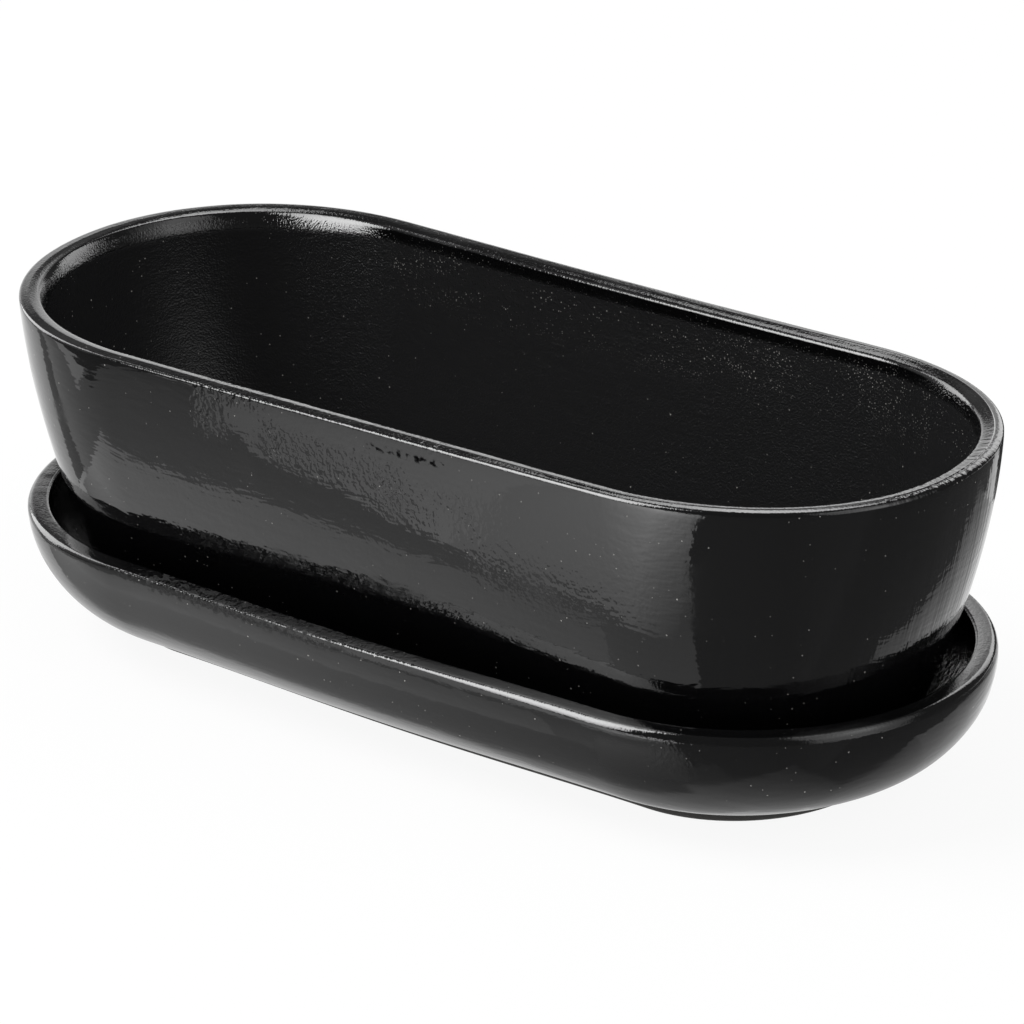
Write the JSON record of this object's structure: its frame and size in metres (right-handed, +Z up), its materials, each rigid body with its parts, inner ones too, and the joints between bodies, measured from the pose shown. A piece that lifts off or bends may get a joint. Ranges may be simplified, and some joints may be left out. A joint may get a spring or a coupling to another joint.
{
  "type": "oval ceramic planter",
  "caption": "Oval trough planter with round ends and tapered walls, standing loose in a deep matching saucer; black glazed stoneware with drain holes.",
  "frame": {"origin": "on the ground under the middle of the saucer", "axes": "+X along the planter's length, +Y across it, +Z up out of the pot's mouth"},
  "size_m": [0.4002, 0.1856, 0.1299],
  "materials": {
    "pot_glaze": "high gloss black glaze, slightly rippled, with pinholes",
    "saucer_glaze": "high gloss black glaze, slightly rippled, with pinholes"
  },
  "bodies": {
    "saucer": {"saucer": "saucer_glaze"},
    "pot": {"planter_pot": "pot_glaze"}
  },
  "joints": [
    {"name": "pot_lift", "type": "slide", "parent": "saucer", "child": "pot", "axis": [0, 0, 1], "range_m": [0, 0.06]}
  ]
}
